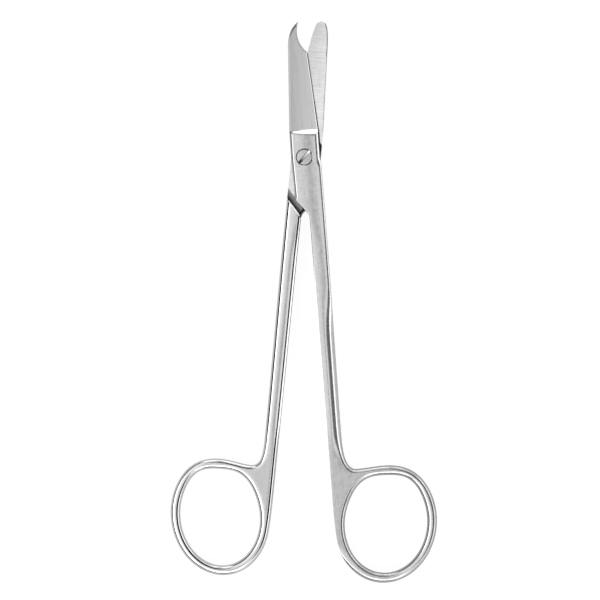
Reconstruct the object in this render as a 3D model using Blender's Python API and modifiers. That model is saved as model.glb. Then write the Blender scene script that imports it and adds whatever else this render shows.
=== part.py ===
"""Ligature scissors: two forged halves that cross on a screw lap joint.

Sizes are in metres and angles in degrees. The scissors lie flat: the tips point along +Y,
+Z looks away from the table, and the pivot axis is the Z axis, with z = 0 on the back face.
Each half is drawn in its own frame: the pivot at the origin, the tip along +Y, its finger
ring on the +X side, the mating plane at z = 0 and the outer face of its joint plate at
z = PLATE_THICK. The rear half is drawn the same way and turned over.
"""
import math

import bmesh
import bpy
from mathutils import Matrix

# Lap joint
PLATE_THICK = 0.0022        # mating plane to the outer face of one joint plate
PLATE_WIDTH = 0.0074
JOINT_GAP = 0.0001          # running gap between the two plates
PLATE_END_X = 0.0035        # start of the slanted end of a plate, beside the pivot
PLATE_END_Y = 0.0105
PLATE_END_RUN = 0.00228     # how far the slanted end runs across and down
PLATE_END_DROP = 0.00285
CROTCH_DROP = 0.0152        # pivot to the crotch between plate end and shank
LAP_OUTER_DROP = 0.0109     # where the full thickness starts, on the outer side
LAP_INNER_DROP = 0.0144     # and on the inner side
LAP_FILLET = 0.0017         # radius of the ground fillet at that shoulder
END_CLEARANCE = 0.0001      # a plate's slanted end clears the fillet by this much
END_OVERRUN = 0.0016        # its hollow runs this far past both corners

# Blades
SHOULDER_UP = 0.0068        # pivot to the foot of the blade's shoulder
SHOULDER_BACK_X = 0.00362   # blade root, from its middle to the back and to the edge
SHOULDER_EDGE_X = 0.00378
SHOULDER_SLOPE = 45.0
BLADE_BACK_THICK = 0.0016
BLADE_EDGE_THICK = 0.0008
BLADE_THINNING = 0.8        # angle by which a blade thins towards its tip
EDGE_LAND = 0.00015         # thickness left at the cutting edges
EDGE_BEVEL_WIDTH = 0.00035
BACK_CHAMFER = 0.0005

HOOK_BACK = (-0.00232, 0.02756)
HOOK_TIP = (0.00081, 0.03401)
HOOK_EDGE_END = (0.00258, 0.02600)
HOOK_BACK_LEAN = 3.6
HOOK_TIP_LEAN = 53.0
NOTCH_RADIUS = 0.0069
NOTCH_BEVEL_WIDTH = 0.0003

BLUNT_BACK = (-0.00266, 0.0270)
BLUNT_TIP = (-0.00046, 0.0343)
BLUNT_EDGE_END = (0.0022, 0.02666)
BLUNT_BACK_LEAN = 3.0
BLUNT_EDGE_LEAN = 9.2

# Shanks
SHANK_INNER_X = 0.00025     # the inner edge lies this far past the pivot line
SHANK_TOP_WIDTH = 0.00395
SHANK_LOW_WIDTH = 0.00358
SHANK_STRAIGHT_DROP = 0.021
SHANK_LOW_DROP = 0.071
INNER_END_DROP = 0.080
TAPER_START_DROP = 0.015    # the thickness falls from the joint's to the ring's
TAPER_END_DROP = 0.076
TAPER_STATIONS = 9

# Finger rings
RING_HALF_THICK = 0.00142
RING_WALL = 0.00237
RING_ARC_START = -12.0
RING_ARC_END = 243.0
RING_FLAT = 0.00025         # how far the ring's top lies below its ellipse
HOLE_FLAT = 0.00055         # the same for the finger opening
FLAT_LEAN = 4.0             # the flatter side faces along the shank
HOOK_RING = (0.01272, -0.09291)
HOOK_RING_LONG = 0.01487
HOOK_RING_CROSS = 0.01267
HOOK_RING_LEAN = 14.3
HOOK_HOLE_RISE = 0.00018
HOOK_HOLE_LEAN = 9.7
HOOK_WEB = (0.0065, -0.07872)
BLUNT_RING = (0.01250, -0.09143)
BLUNT_RING_LONG = 0.01477
BLUNT_RING_CROSS = 0.01228
BLUNT_RING_LEAN = 16.3
BLUNT_HOLE_RISE = 0.00009
BLUNT_HOLE_LEAN = 13.3
BLUNT_WEB = (0.0061, -0.07788)

# Edge rounding
BLADE_ROUND = 0.00004
PLATE_ROUND = 0.0003
SHANK_ROUND = 0.0013
RING_ROUND = 0.00098
ROUND_START_DROP = 0.002    # on the outer side the rounding grows from here
ROUND_GROW = 0.026
ROUND_STEPS = 4

# Pivot screw
HEAD_RADIUS = 0.00205
HEAD_DEEP = 0.0011
HEAD_SINK = 0.00004
HEAD_CHAMFER = 0.00012
NECK_RADIUS = 0.0013
THREAD_RADIUS = 0.0012
SCREW_CLEARANCE = 0.00006
SLOT_WIDTH = 0.00055
SLOT_DEEP = 0.0006
SLOT_ANGLE = 48.4

# Pose and the pivot's place across each half
HOOK_OPEN = 4.55
BLUNT_OPEN = 5.69
HOOK_SHIFT = 0.00042
BLUNT_SHIFT = -0.00047

# Drawing
ARC_STEPS = 44
HOLE_STEPS = 60
BLADE_STEPS = 12
BEVEL_STEPS = 11            # not a multiple, so a cutter shares no corner with the outline
TURN_STEPS = 48
REACH = 0.06                # cutters run this far past what they cut
RUN_OUT = 0.0004            # and bevels this far past the ends of their stretch
NOTCH_RUN_OUT = 0.00025     # less in the notch, which ends inside the outline
BEVEL_OVER = 0.0001         # a bevel's cutter starts this far above the ground face
BEVEL_OUT = 0.001           # and ends this far outside the outline
MERGE = 0.000001
SHARP_ANGLE = 28.0          # edges sharper than this stay sharp in the shading


def clear_scene():
    for item in list(bpy.data.objects):
        bpy.data.objects.remove(item, do_unlink=True)


def collection(name):
    made = bpy.data.collections.new(name)
    bpy.context.scene.collection.children.link(made)
    return made


def steel(name, colour, roughness):
    made = bpy.data.materials.new(name)
    made.use_nodes = True
    shader = made.node_tree.nodes["Principled BSDF"]
    shader.inputs["Base Color"].default_value = (*colour, 1.0)
    shader.inputs["Metallic"].default_value = 1.0
    shader.inputs["Roughness"].default_value = roughness
    return made


# Drawing helpers

def lean_aim(degrees):
    """A direction that points up (+Y) and leans towards +X by some degrees."""
    turn = math.radians(degrees)
    return (math.sin(turn), math.cos(turn))


def ellipse_point(centre, long_half, cross_half, lean, turn):
    """A point on an ellipse whose long axis leans from +Y; turn runs clockwise from its top."""
    up = long_half * math.cos(math.radians(turn))
    side = cross_half * math.sin(math.radians(turn))
    aim = lean_aim(lean)
    return (centre[0] + up * aim[0] + side * aim[1], centre[1] + up * aim[1] - side * aim[0])


def ring_point(centre, long_half, cross_half, lean, flat, turn):
    """A point on a ring: an ellipse flattened on its shank side, with fuller corners there."""
    off = math.radians(turn + lean - FLAT_LEAN)
    size = 1.0 - flat / long_half * math.cos(4.0 * off) * max(math.cos(off), 0.0) ** 2
    return ellipse_point(centre, long_half * size, cross_half * size, lean, turn)


def ring_aim(long_half, cross_half, lean, flat, turn):
    """The direction in which the ring is drawn at that turn."""
    ahead = ring_point((0.0, 0.0), long_half, cross_half, lean, flat, turn + 0.5)
    behind = ring_point((0.0, 0.0), long_half, cross_half, lean, flat, turn - 0.5)
    across = ahead[0] - behind[0]
    along = ahead[1] - behind[1]
    length = math.hypot(across, along)
    return (across / length, along / length)


def bend(start, start_aim, start_pull, end, end_aim, end_pull, steps):
    """A Bezier curve between two points, each with its direction and its pull."""
    first = (start[0] + start_aim[0] * start_pull, start[1] + start_aim[1] * start_pull)
    second = (end[0] - end_aim[0] * end_pull, end[1] - end_aim[1] * end_pull)
    made = []
    for step in range(steps + 1):
        t = step / steps
        rest = 1.0 - t
        shares = (rest ** 3, 3.0 * rest * rest * t, 3.0 * rest * t * t, t ** 3)
        corners = (start, first, second, end)
        made.append(tuple(sum(s * c[i] for s, c in zip(shares, corners)) for i in (0, 1)))
    return made


def arc_between(start, end, radius, steps):
    """A short arc that bulges to the left of the way from start to end."""
    across = end[0] - start[0]
    along = end[1] - start[1]
    span = math.hypot(across, along)
    rise = math.sqrt(radius * radius - span * span / 4.0)
    centre = ((start[0] + end[0]) / 2.0 - along / span * rise,
              (start[1] + end[1]) / 2.0 + across / span * rise)
    first = math.atan2(start[1] - centre[1], start[0] - centre[0])
    last = math.atan2(end[1] - centre[1], end[0] - centre[0])
    sweep = (last - first + math.pi) % (2.0 * math.pi) - math.pi
    return [(centre[0] + radius * math.cos(first + sweep * step / steps),
             centre[1] + radius * math.sin(first + sweep * step / steps))
            for step in range(steps + 1)]


# Outlines, drawn clockwise from the back of the blade root

def hook_back(steps):
    """The back of the hooked blade, up to its point."""
    return bend(HOOK_BACK, lean_aim(HOOK_BACK_LEAN), 0.0036,
                HOOK_TIP, lean_aim(HOOK_TIP_LEAN), 0.0022, steps)


def hook_notch(steps):
    """The crescent notch, from the point to the straight cutting edge."""
    return arc_between(HOOK_TIP, HOOK_EDGE_END, NOTCH_RADIUS, steps)


def blunt_back(steps):
    """The back of the blunt blade, up to the top of its round tip."""
    return bend(BLUNT_BACK, lean_aim(BLUNT_BACK_LEAN), 0.0054, BLUNT_TIP, (1.0, 0.0), 0.0016, steps)


def blunt_front(steps):
    """The round tip, down to the straight cutting edge."""
    down = lean_aim(180.0 - BLUNT_EDGE_LEAN)
    return bend(BLUNT_TIP, (1.0, 0.0), 0.0013, BLUNT_EDGE_END, down, 0.0060, steps)


def handle(ring, long_half, cross_half, lean, web):
    """The shank, the finger ring and the slanted end of the joint plate."""
    down = (0.0, -1.0)
    outer_x = SHANK_TOP_WIDTH - SHANK_INNER_X
    low_x = SHANK_LOW_WIDTH - SHANK_INNER_X
    side = [(PLATE_WIDTH / 2.0, 0.0)]
    side += bend((outer_x, -SHANK_STRAIGHT_DROP), down, 0.012, (low_x, -SHANK_LOW_DROP), down, 0.014, 8)
    corner = bend((low_x, -SHANK_LOW_DROP), down, 0.0046, web, (1.0, 0.0), 0.0023, 8)
    ring_top = ring_point(ring, long_half, cross_half, lean, RING_FLAT, RING_ARC_START)
    ring_top_aim = ring_aim(long_half, cross_half, lean, RING_FLAT, RING_ARC_START)
    bridge = bend(web, (1.0, 0.0), 0.0026, ring_top, ring_top_aim, 0.003, 5)
    sweep = RING_ARC_END - RING_ARC_START
    loop = [ring_point(ring, long_half, cross_half, lean, RING_FLAT,
                       RING_ARC_START + sweep * step / ARC_STEPS)
            for step in range(1, ARC_STEPS + 1)]
    ring_end_aim = ring_aim(long_half, cross_half, lean, RING_FLAT, RING_ARC_END)
    inner_low = (-SHANK_INNER_X, -INNER_END_DROP)
    rise = bend(loop[-1], ring_end_aim, 0.0035, inner_low, (0.0, 1.0), 0.005, 5)
    crotch = (-SHANK_INNER_X, -CROTCH_DROP)
    end_top = (-PLATE_END_X, -PLATE_END_Y)
    end_low = (PLATE_END_RUN - PLATE_END_X, -PLATE_END_Y - PLATE_END_DROP)
    length = math.hypot(PLATE_END_RUN, PLATE_END_DROP)
    end_aim = (-PLATE_END_RUN / length, PLATE_END_DROP / length)
    turn = bend(crotch, (0.0, 1.0), 0.0009, end_low, end_aim, 0.0005, 4)
    return side + corner[1:] + bridge[1:] + loop + rise[1:] + turn + [end_top, (-PLATE_WIDTH / 2.0, 0.0)]


def outline(blade, ring, long_half, cross_half, lean, web, shift):
    """The whole outline of one half, moved so that its pivot is at the origin."""
    root_back = (-SHOULDER_BACK_X, SHOULDER_UP)
    root_edge = (SHOULDER_EDGE_X, SHOULDER_UP)
    drawn = [root_back] + blade + [root_edge] + handle(ring, long_half, cross_half, lean, web)
    return [(point[0] + shift, point[1]) for point in drawn]


def ring_hole(ring, long_half, cross_half, lean, rise, shift):
    """The finger opening, drawn clockwise."""
    centre = (ring[0] + shift, ring[1] + rise)
    return [ring_point(centre, long_half - RING_WALL, cross_half - RING_WALL, lean, HOLE_FLAT,
                       360.0 * step / HOLE_STEPS) for step in range(HOLE_STEPS)]


# Thickness and rounding along a half

def ease(share):
    share = min(max(share, 0.0), 1.0)
    return share * share * (3.0 - 2.0 * share)


def half_thickness(y):
    """Half of the full thickness: the joint's, falling to the ring's along the shank."""
    share = (-y - TAPER_START_DROP) / (TAPER_END_DROP - TAPER_START_DROP)
    share = min(max(share, 0.0), 1.0)
    fall = 1.0 - (1.0 - share) ** 2
    return PLATE_THICK + (RING_HALF_THICK - PLATE_THICK) * fall


def edge_round(x, y):
    """Radius of the rounded edge at a point of the outline."""
    if y > SHOULDER_UP:
        return BLADE_ROUND
    start = ROUND_START_DROP if x > 0.0 else CROTCH_DROP
    shank = PLATE_ROUND + (SHANK_ROUND - PLATE_ROUND) * ease((-y - start) / ROUND_GROW)
    fade = ease((-y - SHANK_LOW_DROP + 0.006) / 0.010)
    return shank + (RING_ROUND - shank) * fade


def inward(points, material_outside):
    """For each point of a clockwise loop, the mitred direction into the material."""
    made = []
    count = len(points)
    for index, point in enumerate(points):
        before = points[index - 1]
        after = points[(index + 1) % count]
        normals = []
        for start, end in ((before, point), (point, after)):
            across = end[0] - start[0]
            along = end[1] - start[1]
            length = math.hypot(across, along)
            normals.append((along / length, -across / length))
        dot = normals[0][0] * normals[1][0] + normals[0][1] * normals[1][1]
        share = 1.0 / max(1.0 + dot, 0.6)
        if material_outside:
            share = -share
        made.append(((normals[0][0] + normals[1][0]) * share, (normals[0][1] + normals[1][1]) * share))
    return made


def rounded_slab(name, outer, hole):
    """A slab with rounded rims, lofted ring by ring, then thinned along the shank."""
    profile = []
    for step in range(ROUND_STEPS + 1):
        turn = math.pi / 2.0 * (1.0 - step / ROUND_STEPS)
        profile.append((1.0 - math.cos(turn), 1.0 - math.sin(turn), 1.0))
    profile += [(inset, drop, -1.0) for inset, drop, _ in reversed(profile)]
    shape = bmesh.new()
    rims = {1.0: [], -1.0: []}
    for points, outside in ((outer, False), (hole, True)):
        aims = inward(points, outside)
        rows = []
        for inset, drop, face in profile:
            row = []
            for point, aim in zip(points, aims):
                radius = edge_round(*point)
                row.append(shape.verts.new((point[0] + aim[0] * radius * inset,
                                            point[1] + aim[1] * radius * inset,
                                            face * (PLATE_THICK - radius * drop))))
            rows.append(row)
        count = len(points)
        for upper, lower in zip(rows, rows[1:]):
            for index in range(count):
                after = (index + 1) % count
                shape.faces.new((upper[index], upper[after], lower[after], lower[index]))
        for row, face in ((rows[0], 1.0), (rows[-1], -1.0)):
            for index in range(count):
                rims[face].append(shape.edges.get((row[index], row[(index + 1) % count])))
    for face in (1.0, -1.0):
        bmesh.ops.triangle_fill(shape, edges=rims[face], use_beauty=True)
    for station in range(TAPER_STATIONS + 1):
        drop = TAPER_START_DROP + (TAPER_END_DROP - TAPER_START_DROP) * station / TAPER_STATIONS
        parts = shape.verts[:] + shape.edges[:] + shape.faces[:]
        bmesh.ops.bisect_plane(shape, geom=parts, plane_co=(0.0, -drop, 0.0), plane_no=(0.0, 1.0, 0.0))
    for vertex in shape.verts:
        thinning = PLATE_THICK - half_thickness(vertex.co.y)
        vertex.co.z -= math.copysign(thinning, vertex.co.z)
    bmesh.ops.recalc_face_normals(shape, faces=shape.faces)
    mesh = bpy.data.meshes.new(name)
    shape.to_mesh(mesh)
    shape.free()
    made = bpy.data.objects.new(name, mesh)
    PARTS.objects.link(made)
    return made


# Cutters

def as_cutter(item):
    for holder in list(item.users_collection):
        holder.objects.unlink(item)
    CUTTERS.objects.link(item)
    item.hide_render = True
    item.display_type = "WIRE"
    return item


def profile_cutter(name, points, half_length, place):
    """A closed 2D profile, extruded both ways and placed by a matrix."""
    curve = bpy.data.curves.new(name, "CURVE")
    curve.dimensions = "2D"
    curve.fill_mode = "BOTH"
    curve.extrude = half_length
    line = curve.splines.new("POLY")
    line.points.add(len(points) - 1)
    for spot, point in zip(line.points, points):
        spot.co = (point[0], point[1], 0.0, 1.0)
    line.use_cyclic_u = True
    drawn = bpy.data.objects.new(name + "_curve", curve)
    CUTTERS.objects.link(drawn)
    drawn.matrix_world = place
    bpy.context.view_layer.update()
    mesh = bpy.data.meshes.new_from_object(drawn.evaluated_get(bpy.context.evaluated_depsgraph_get()))
    shape = bmesh.new()
    shape.from_mesh(mesh)
    bmesh.ops.remove_doubles(shape, verts=shape.verts, dist=MERGE)
    bmesh.ops.recalc_face_normals(shape, faces=shape.faces)
    shape.to_mesh(mesh)
    shape.free()
    made = bpy.data.objects.new(name, mesh)
    made.matrix_world = place
    bpy.data.objects.remove(drawn, do_unlink=True)
    return as_cutter(made)


def cylinder_cutter(name, radius, low, high):
    bpy.ops.mesh.primitive_cylinder_add(vertices=TURN_STEPS, radius=radius, depth=high - low,
                                        location=(0.0, 0.0, (low + high) / 2.0))
    made = bpy.context.active_object
    made.name = name
    return as_cutter(made)


def section_place(start, end):
    """A matrix for a profile across a line in plan: its x points away from the pivot's side."""
    across = end[0] - start[0]
    along = end[1] - start[1]
    length = math.hypot(across, along)
    run = (across / length, along / length)
    side = (run[1], -run[0])
    middle = ((start[0] + end[0]) / 2.0, (start[1] + end[1]) / 2.0)
    return Matrix(((side[0], 0.0, run[0], middle[0]), (side[1], 0.0, run[1], middle[1]),
                   (0.0, 1.0, 0.0, 0.0), (0.0, 0.0, 0.0, 1.0)))


def fillet_points(radius, base):
    """Quarter circle from a wall at x = 0 to a floor at z = base, hollow towards -z."""
    made = []
    for step in range(9):
        turn = math.pi / 2.0 * step / 8
        made.append((radius * (1.0 - math.cos(turn)), base - radius * (1.0 - math.sin(turn))))
    return made


def lap_cutter(name, shift):
    """Takes away everything under the mating plane, up to the filleted shoulder."""
    outer_x = SHANK_TOP_WIDTH - SHANK_INNER_X - 0.0003
    inner_x = SHANK_INNER_X
    start = (inner_x + shift, -LAP_INNER_DROP)
    end = (outer_x + shift, -LAP_OUTER_DROP)
    place = section_place(start, end)
    base = JOINT_GAP / 2.0
    points = [(-x, z) for x, z in fillet_points(LAP_FILLET, base)]
    points = [(0.0, -2.0 * PLATE_THICK)] + points
    points += [(-REACH, base), (-REACH, -2.0 * PLATE_THICK)]
    return profile_cutter(name, points, REACH, place)


def end_cutter(name, shift):
    """Hollows the slanted end of the plate so that it clears the other half's fillet."""
    start = (-PLATE_END_X + shift, -PLATE_END_Y)
    end = (PLATE_END_RUN - PLATE_END_X + shift, -PLATE_END_Y - PLATE_END_DROP)
    place = section_place(start, end)
    radius = LAP_FILLET + END_CLEARANCE
    base = JOINT_GAP / 2.0
    points = []
    for step in range(9):
        turn = math.pi / 2.0 * step / 8
        points.append((-radius * (1.0 - math.sin(turn)), base + radius * (1.0 - math.cos(turn))))
    low = base - END_CLEARANCE
    points += [(REACH / 20.0, base + radius), (REACH / 20.0, low), (-radius, low)]
    half_length = math.hypot(PLATE_END_RUN, PLATE_END_DROP) / 2.0 + END_OVERRUN
    return profile_cutter(name, points, half_length, place)


def ground_lean():
    """How far the ground face of a blade leans down from its back to its cutting edge."""
    width = SHOULDER_BACK_X + SHOULDER_EDGE_X
    return math.atan2(BLADE_BACK_THICK - BLADE_EDGE_THICK, width)


def ground_height(x, y, shift):
    """Height of the ground face above the mating plane."""
    lean = ground_lean()
    middle = (SHOULDER_EDGE_X - SHOULDER_BACK_X) / 2.0 + shift
    height = (BLADE_BACK_THICK + BLADE_EDGE_THICK) / 2.0
    drop = math.tan(math.radians(BLADE_THINNING)) / math.cos(lean)
    return height - math.tan(lean) * (x - middle) - drop * (y - SHOULDER_UP)


def grind_cutter(name, shift):
    """Grinds the blade's outer face: thick at the back, thin at the edge and the tip."""
    slope = math.tan(math.radians(SHOULDER_SLOPE))
    drop = math.tan(math.radians(BLADE_THINNING))
    points = [(0.0, 0.0), (-0.003 / slope, 0.003), (REACH, 0.003), (REACH, -REACH * drop)]
    middle = (SHOULDER_EDGE_X - SHOULDER_BACK_X) / 2.0 + shift
    height = (BLADE_BACK_THICK + BLADE_EDGE_THICK) / 2.0
    stand = Matrix(((0.0, 0.0, 1.0, 0.0), (1.0, 0.0, 0.0, 0.0), (0.0, 1.0, 0.0, 0.0), (0.0, 0.0, 0.0, 1.0)))
    place = Matrix.Translation((middle, SHOULDER_UP, height)) @ Matrix.Rotation(ground_lean(), 4, "Y") @ stand
    return profile_cutter(name, points, 0.02, place)


def chamfered(x, y, shift):
    """Height of the outline where the back is chamfered."""
    return ground_height(x, y, shift) - BACK_CHAMFER


def sharpened(x, y, shift):
    """Height of the outline where the blade is sharpened."""
    return JOINT_GAP / 2.0 + EDGE_LAND


def bevel_cutter(name, path, width, edge_height, shift):
    """Grinds a bevel along a stretch of the blade's outline, drawn clockwise.

    The bevel starts that width inside the outline, on the ground face, and falls to the
    edge height at the outline. Its section is carried along the path, with closed ends.
    """
    shape = bmesh.new()
    rows = []
    last = len(path) - 1
    for index, point in enumerate(path):
        before = path[max(index - 1, 0)]
        after = path[min(index + 1, last)]
        across = after[0] - before[0]
        along = after[1] - before[1]
        length = math.hypot(across, along)
        outward = (-along / length, across / length)
        start = (point[0] + shift - outward[0] * width, point[1] - outward[1] * width)
        low = edge_height(point[0] + shift, point[1], shift)
        slope = (ground_height(*start, shift) - low) / width
        row = []
        for aside, up in ((-width - BEVEL_OVER, 0.0), (BEVEL_OUT, 0.0), (BEVEL_OUT, 2.0 * PLATE_THICK),
                          (-width - BEVEL_OVER, 2.0 * PLATE_THICK)):
            row.append(shape.verts.new((point[0] + shift + outward[0] * aside,
                                        point[1] + outward[1] * aside, low - slope * aside + up)))
        rows.append(row)
    count = len(rows[0])
    for near, far in zip(rows, rows[1:]):
        for index in range(count):
            after = (index + 1) % count
            shape.faces.new((near[index], near[after], far[after], far[index]))
    shape.faces.new(rows[0])
    shape.faces.new(reversed(rows[-1]))
    bmesh.ops.recalc_face_normals(shape, faces=shape.faces)
    mesh = bpy.data.meshes.new(name)
    shape.to_mesh(mesh)
    shape.free()
    return as_cutter(bpy.data.objects.new(name, mesh))


def stretched(path, before, after):
    """The path with both ends carried on in a straight line."""
    made = list(path)
    for spot, ahead, extra in ((0, 1, before), (-1, -2, after)):
        across = path[spot][0] - path[ahead][0]
        along = path[spot][1] - path[ahead][1]
        length = math.hypot(across, along)
        made[spot] = (path[spot][0] + across / length * extra, path[spot][1] + along / length * extra)
    return made


def cut(item, cutters):
    for tool in cutters:
        step = item.modifiers.new(tool.name, "BOOLEAN")
        step.operation = "DIFFERENCE"
        step.solver = "EXACT"
        step.object = tool
    bpy.context.view_layer.update()
    mesh = bpy.data.meshes.new_from_object(item.evaluated_get(bpy.context.evaluated_depsgraph_get()))
    item.modifiers.clear()
    item.data = mesh


def finish_mesh(item, material):
    shape = bmesh.new()
    shape.from_mesh(item.data)
    bmesh.ops.remove_doubles(shape, verts=shape.verts, dist=MERGE)
    bmesh.ops.dissolve_degenerate(shape, dist=MERGE, edges=shape.edges)
    bmesh.ops.recalc_face_normals(shape, faces=shape.faces)
    shape.to_mesh(item.data)
    shape.free()
    item.data.shade_smooth()
    item.data.set_sharp_from_angle(angle=math.radians(SHARP_ANGLE))
    item.data.materials.clear()
    item.data.materials.append(material)


def place_half(item, open_angle, turned_over):
    item.location = (0.0, 0.0, PLATE_THICK)
    flip = math.pi if turned_over else 0.0
    item.rotation_euler = (0.0, flip, math.radians(open_angle))


def hook_half(material):
    drawn = hook_back(BLADE_STEPS) + hook_notch(BLADE_STEPS)[1:]
    outer = outline(drawn, HOOK_RING, HOOK_RING_LONG, HOOK_RING_CROSS, HOOK_RING_LEAN,
                    HOOK_WEB, HOOK_SHIFT)
    hole = ring_hole(HOOK_RING, HOOK_RING_LONG, HOOK_RING_CROSS, HOOK_HOLE_LEAN, HOOK_HOLE_RISE,
                     HOOK_SHIFT)
    made = rounded_slab("hook_blade_half", outer, hole)
    back = hook_back(BEVEL_STEPS)
    notch = hook_notch(BEVEL_STEPS)
    root_back = (-SHOULDER_BACK_X, SHOULDER_UP)
    root_edge = (SHOULDER_EDGE_X, SHOULDER_UP)
    neck = cylinder_cutter("neck_hole", NECK_RADIUS + SCREW_CLEARANCE, -0.001, 0.003)
    seat = PLATE_THICK - HEAD_DEEP - SCREW_CLEARANCE
    counterbore = cylinder_cutter("head_counterbore", HEAD_RADIUS + SCREW_CLEARANCE, seat, 0.004)
    cut(made, [
        lap_cutter("hook_lap", HOOK_SHIFT),
        end_cutter("hook_plate_end", HOOK_SHIFT),
        grind_cutter("hook_grind", HOOK_SHIFT),
        bevel_cutter("hook_back_chamfer", stretched([root_back] + back[1:], RUN_OUT, RUN_OUT),
                     BACK_CHAMFER, chamfered, HOOK_SHIFT),
        bevel_cutter("hook_notch_bevel", stretched(notch, NOTCH_RUN_OUT, NOTCH_RUN_OUT),
                     NOTCH_BEVEL_WIDTH, sharpened, HOOK_SHIFT),
        bevel_cutter("hook_edge", stretched([HOOK_EDGE_END, root_edge], RUN_OUT, RUN_OUT),
                     EDGE_BEVEL_WIDTH, sharpened, HOOK_SHIFT),
        neck, counterbore])
    finish_mesh(made, material)
    place_half(made, HOOK_OPEN, False)
    return made


def blunt_half(material):
    drawn = blunt_back(BLADE_STEPS) + blunt_front(BLADE_STEPS)[1:]
    outer = outline(drawn, BLUNT_RING, BLUNT_RING_LONG, BLUNT_RING_CROSS, BLUNT_RING_LEAN,
                    BLUNT_WEB, BLUNT_SHIFT)
    hole = ring_hole(BLUNT_RING, BLUNT_RING_LONG, BLUNT_RING_CROSS, BLUNT_HOLE_LEAN,
                     BLUNT_HOLE_RISE, BLUNT_SHIFT)
    made = rounded_slab("blunt_blade_half", outer, hole)
    back = blunt_back(BEVEL_STEPS)
    front = blunt_front(BEVEL_STEPS)
    root_back = (-SHOULDER_BACK_X, SHOULDER_UP)
    root_edge = (SHOULDER_EDGE_X, SHOULDER_UP)
    tapped = cylinder_cutter("tapped_hole", THREAD_RADIUS + SCREW_CLEARANCE, -0.001, 0.003)
    cut(made, [
        lap_cutter("blunt_lap", BLUNT_SHIFT),
        end_cutter("blunt_plate_end", BLUNT_SHIFT),
        grind_cutter("blunt_grind", BLUNT_SHIFT),
        bevel_cutter("blunt_back_chamfer", stretched([root_back] + back[1:] + front[1:4], RUN_OUT, 0.0),
                     BACK_CHAMFER, chamfered, BLUNT_SHIFT),
        bevel_cutter("blunt_edge", stretched(front[3:-1] + [root_edge], RUN_OUT, RUN_OUT),
                     EDGE_BEVEL_WIDTH, sharpened, BLUNT_SHIFT),
        tapped])
    finish_mesh(made, material)
    place_half(made, -BLUNT_OPEN, True)
    return made


def pivot_screw(material):
    """A turned screw: slotted head, plain neck and the threaded end, flush at the back."""
    top = 2.0 * PLATE_THICK - HEAD_SINK
    seat = 2.0 * PLATE_THICK - HEAD_DEEP
    points = [(0.0, top), (HEAD_RADIUS - HEAD_CHAMFER, top), (HEAD_RADIUS, top - HEAD_CHAMFER),
              (HEAD_RADIUS, seat), (NECK_RADIUS, seat), (NECK_RADIUS, PLATE_THICK),
              (THREAD_RADIUS, PLATE_THICK - JOINT_GAP / 2.0), (THREAD_RADIUS, 0.0), (0.0, 0.0)]
    mesh = bpy.data.meshes.new("pivot_screw")
    corners = [(x, 0.0, z) for x, z in points]
    mesh.from_pydata(corners, [(i, i + 1) for i in range(len(corners) - 1)], [])
    made = bpy.data.objects.new("pivot_screw", mesh)
    PARTS.objects.link(made)
    turning = made.modifiers.new("turned", "SCREW")
    turning.axis = "Z"
    turning.steps = TURN_STEPS
    turning.render_steps = TURN_STEPS
    turning.use_merge_vertices = True
    turning.merge_threshold = MERGE
    turning.use_normal_calculate = True
    bpy.ops.mesh.primitive_cube_add(size=1.0, location=(0.0, 0.0, top))
    slot = bpy.context.active_object
    slot.name = "driver_slot"
    slot.scale = (3.0 * HEAD_RADIUS, SLOT_WIDTH, 2.0 * SLOT_DEEP)
    slot.rotation_euler = (0.0, 0.0, math.radians(SLOT_ANGLE))
    cut(made, [as_cutter(slot)])
    finish_mesh(made, material)
    return made


clear_scene()
PARTS = collection("ligature_scissors")
CUTTERS = collection("cutters")
satin = steel("satin_steel", (0.62, 0.62, 0.63), 0.28)
bright = steel("bright_steel", (0.68, 0.68, 0.69), 0.22)
turned = steel("screw_steel", (0.60, 0.60, 0.61), 0.30)
hook_half(satin)
blunt_half(bright)
pivot_screw(turned)
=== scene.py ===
import math

import bpy
import numpy as np
from mathutils import Matrix, Vector
from mathutils.geometry import delaunay_2d_cdt
from mathutils.kdtree import KDTree


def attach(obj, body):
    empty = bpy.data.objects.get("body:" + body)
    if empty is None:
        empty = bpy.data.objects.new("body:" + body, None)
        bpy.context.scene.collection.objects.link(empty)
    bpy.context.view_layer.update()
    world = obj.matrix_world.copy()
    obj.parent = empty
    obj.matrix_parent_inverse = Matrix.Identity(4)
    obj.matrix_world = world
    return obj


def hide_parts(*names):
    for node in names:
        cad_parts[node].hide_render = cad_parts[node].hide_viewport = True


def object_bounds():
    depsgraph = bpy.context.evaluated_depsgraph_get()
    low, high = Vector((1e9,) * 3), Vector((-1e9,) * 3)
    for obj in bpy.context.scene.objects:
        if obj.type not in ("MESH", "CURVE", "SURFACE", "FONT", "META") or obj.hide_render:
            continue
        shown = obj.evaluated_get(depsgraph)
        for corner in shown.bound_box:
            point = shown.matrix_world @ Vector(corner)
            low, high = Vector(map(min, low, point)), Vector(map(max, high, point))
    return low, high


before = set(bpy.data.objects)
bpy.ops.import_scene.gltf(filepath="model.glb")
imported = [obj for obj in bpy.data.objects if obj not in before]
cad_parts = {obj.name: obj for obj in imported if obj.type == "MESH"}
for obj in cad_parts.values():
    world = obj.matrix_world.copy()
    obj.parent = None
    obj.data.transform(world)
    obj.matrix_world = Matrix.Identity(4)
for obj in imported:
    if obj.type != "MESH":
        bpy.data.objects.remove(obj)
CAD_LOW, CAD_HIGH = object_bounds()

MM = 0.001

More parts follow.
